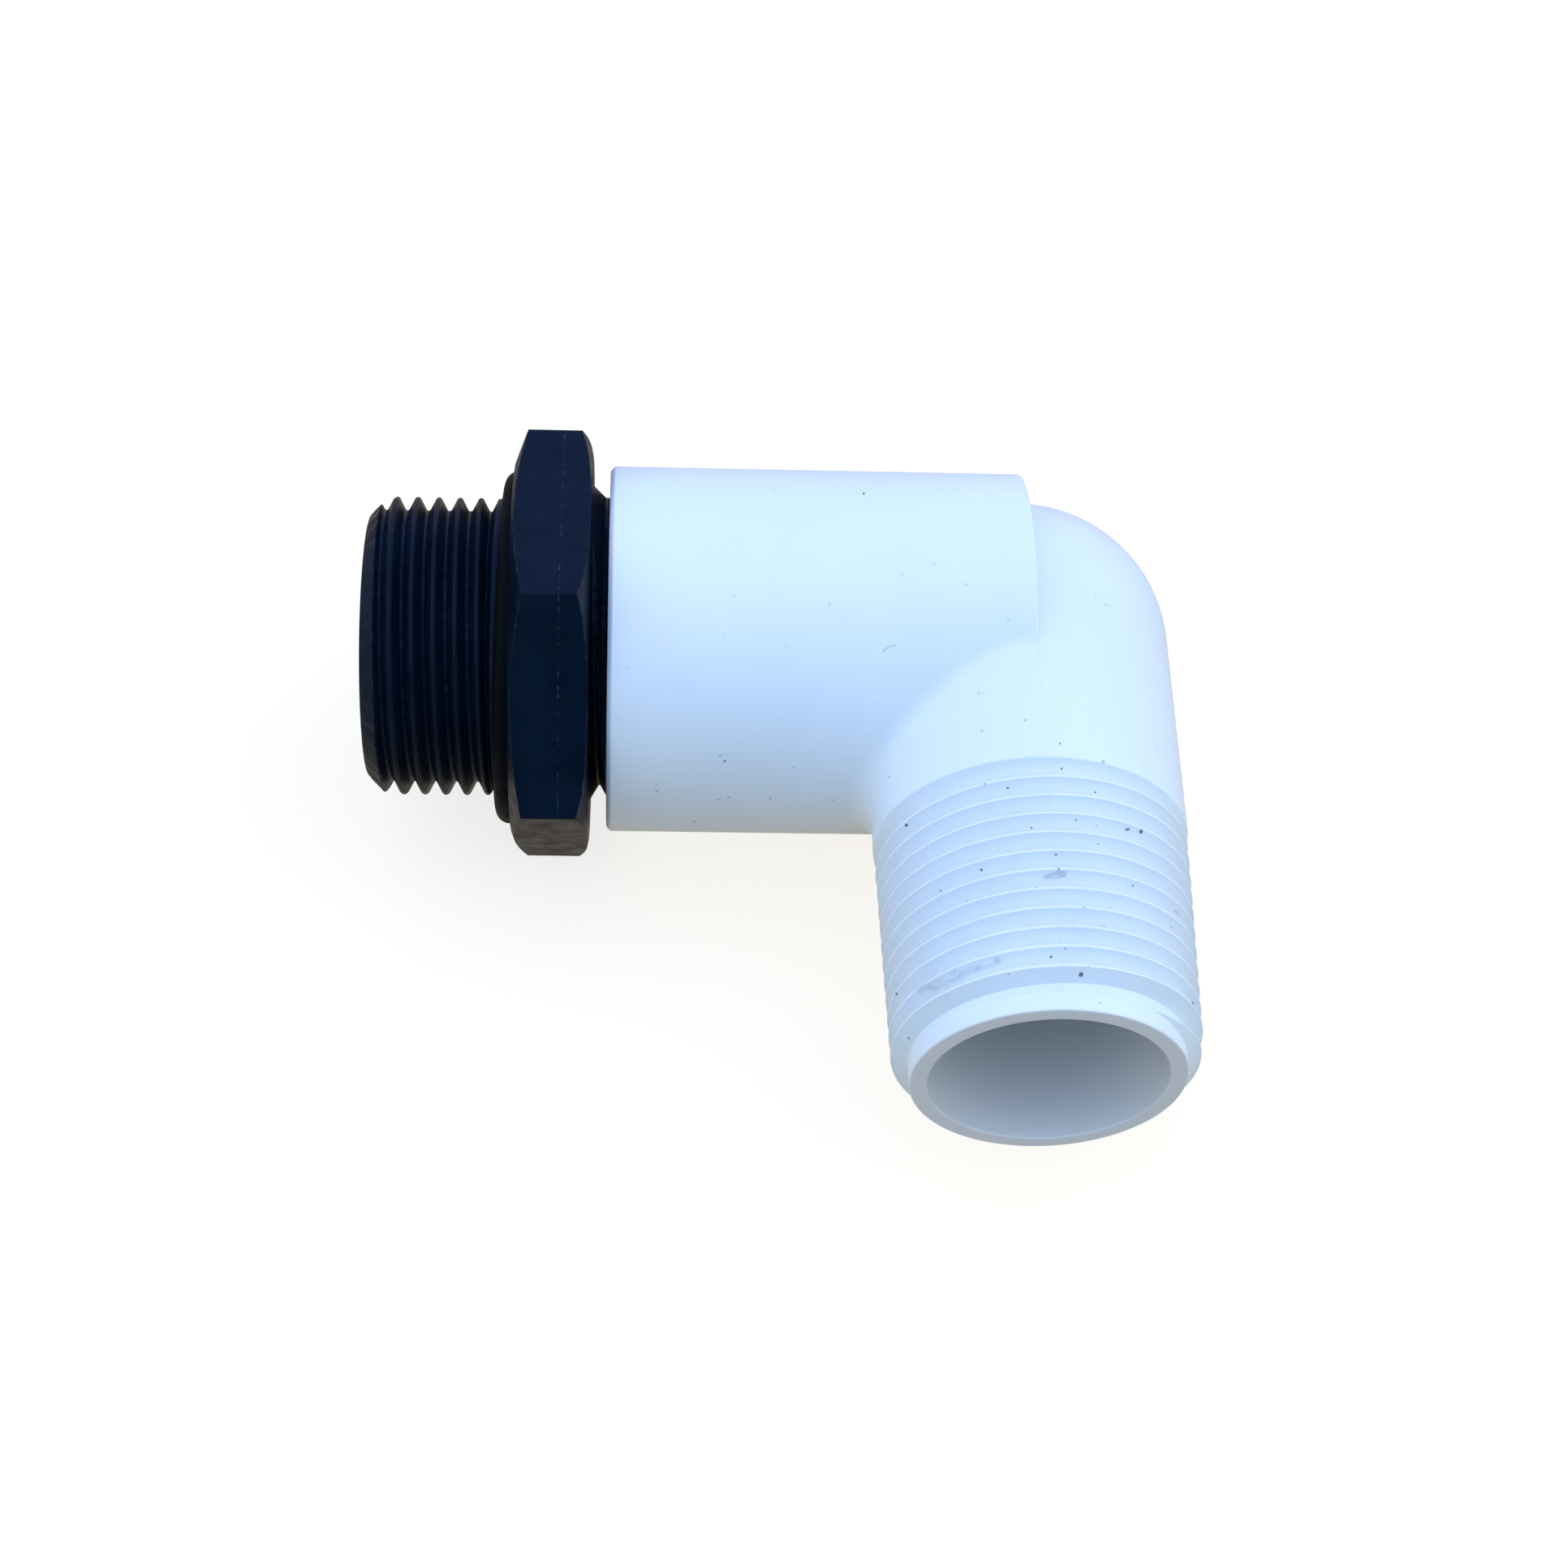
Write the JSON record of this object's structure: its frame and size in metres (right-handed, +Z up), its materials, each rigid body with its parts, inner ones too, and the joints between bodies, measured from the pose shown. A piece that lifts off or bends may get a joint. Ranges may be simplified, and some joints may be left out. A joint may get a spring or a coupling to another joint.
{
  "type": "pvc elbow fitting",
  "caption": "Right-angle PVC water elbow: threaded hub at one end, male taper-threaded leg at the other, with a black hexagon thread adapter screwed into the hub and sealed by a rubber ring.",
  "frame": {"origin": "crossing point of the hub axis and the leg axis", "axes": "-X out of the hub mouth along the adapter, -Y out of the leg mouth, +Z up, square to both axes"},
  "size_m": [0.0886, 0.0788, 0.045],
  "materials": {
    "white_pvc": "satin moulded",
    "black_plastic": "satin machined",
    "ring_rubber": "matte"
  },
  "bodies": {
    "elbow": {"elbow_body": "white_pvc"},
    "ring": {"seal_ring": "ring_rubber"},
    "adapter": {"hex_adapter": "black_plastic"}
  },
  "joints": [
    {"name": "adapter_travel", "type": "slide", "parent": "elbow", "child": "ring", "axis": [1, 0, 0], "range_m": [-0.01812, 0]},
    {"name": "adapter_screw", "type": "hinge", "parent": "ring", "child": "adapter", "pos_m": [-0.05, 0, 0], "axis": [1, 0, 0], "range_deg": [-2950, 0]}
  ],
  "couplings": [
    {"joint": "adapter_travel", "follows": "adapter_screw", "m_per_rad": 0.00035152}
  ]
}
